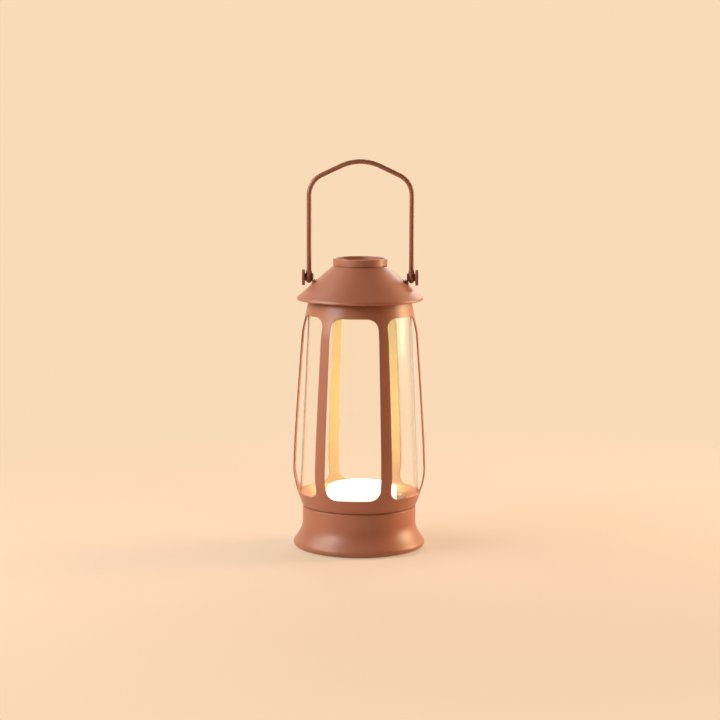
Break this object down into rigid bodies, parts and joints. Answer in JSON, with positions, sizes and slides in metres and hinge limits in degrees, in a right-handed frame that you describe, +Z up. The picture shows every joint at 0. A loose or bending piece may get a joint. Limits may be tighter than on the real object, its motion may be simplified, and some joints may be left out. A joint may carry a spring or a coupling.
{
  "type": "lantern table lamp",
  "caption": "Lantern table lamp with a flared base, a barrel cage with tall windows, a clear chimney, an opal puck light, a conical roof and a swinging bail handle.",
  "frame": {"origin": "centre of the foot ring's underside, on the surface that the lamp stands on", "axes": "+Z up through the base, the cage and the collar; +X along the handle's pivot axis; -Y the front, with the button and the charging socket at the rear, +Y"},
  "size_m": [0.1116, 0.1108, 0.327],
  "materials": {
    "clay_coat": "matt powder coat, dusty terracotta",
    "dark_clay_coat": "matt powder coat, a shade darker",
    "opal": "opal moulding, lit from inside",
    "clear_sheet": "clear bent sheet",
    "soft_rubber": "soft foot, matt",
    "black_rubber": "moulded grommet",
    "bright_steel": "zinc-plated screws and socket shell",
    "zinc_steel": "zinc-plated sheet and hexagon bar",
    "dark_moulding": "moulded black plastic",
    "pale_moulding": "moulded pale plastic",
    "clear_moulding": "clear moulded pin",
    "green_board": "green circuit board",
    "white_board": "white circuit board",
    "light_chip": "yellow phosphor",
    "cell_sleeve": "shrunk sleeve",
    "red_wire": "insulated wire",
    "black_wire": "insulated wire"
  },
  "bodies": {
    "root": {"base_shell": "clay_coat", "bottom_plate": "dark_clay_coat", "foot_ring": "soft_rubber", "bottom_screws": "bright_steel", "standoffs": "zinc_steel", "deck_plate": "dark_clay_coat", "cage": "clay_coat", "cage_nuts": "zinc_steel", "clear_chimney": "clear_sheet", "light_diffuser": "opal", "diffuser_screws": "bright_steel", "led_board": "white_board", "led_chips": "light_chip", "led_board_screws": "bright_steel", "battery_tray": "dark_moulding", "tray_screws": "bright_steel", "battery_cell": "cell_sleeve", "battery_contacts": "zinc_steel", "control_board": "green_board", "board_screws": "bright_steel", "usb_socket": "bright_steel", "switch_body": "dark_moulding", "charge_light": "clear_moulding", "led_wires": "red_wire", "battery_wires": "black_wire", "wire_grommet": "black_rubber", "roof": "clay_coat", "roof_brackets": "zinc_steel", "roof_screws": "bright_steel", "collar": "clay_coat", "left_ear": "dark_clay_coat", "right_ear": "dark_clay_coat", "ear_rivets": "dark_clay_coat", "left_pivot_pin": "dark_clay_coat", "right_pivot_pin": "dark_clay_coat", "washers": "dark_clay_coat"},
    "handle": {"handle": "dark_clay_coat"},
    "button": {"power_button": "dark_clay_coat", "switch_plunger": "pale_moulding"}
  },
  "joints": [
    {"name": "handle_swing", "type": "hinge", "parent": "root", "child": "handle", "pos_m": [0, 0, 0.22866], "axis": [1, 0, 0], "range_deg": [-112, 112]},
    {"name": "button_press", "type": "slide", "parent": "root", "child": "button", "axis": [0, -1, 0], "range_m": [0, 0.0008], "stiffness_N_per_m": 500, "springref_m": -0.001}
  ]
}
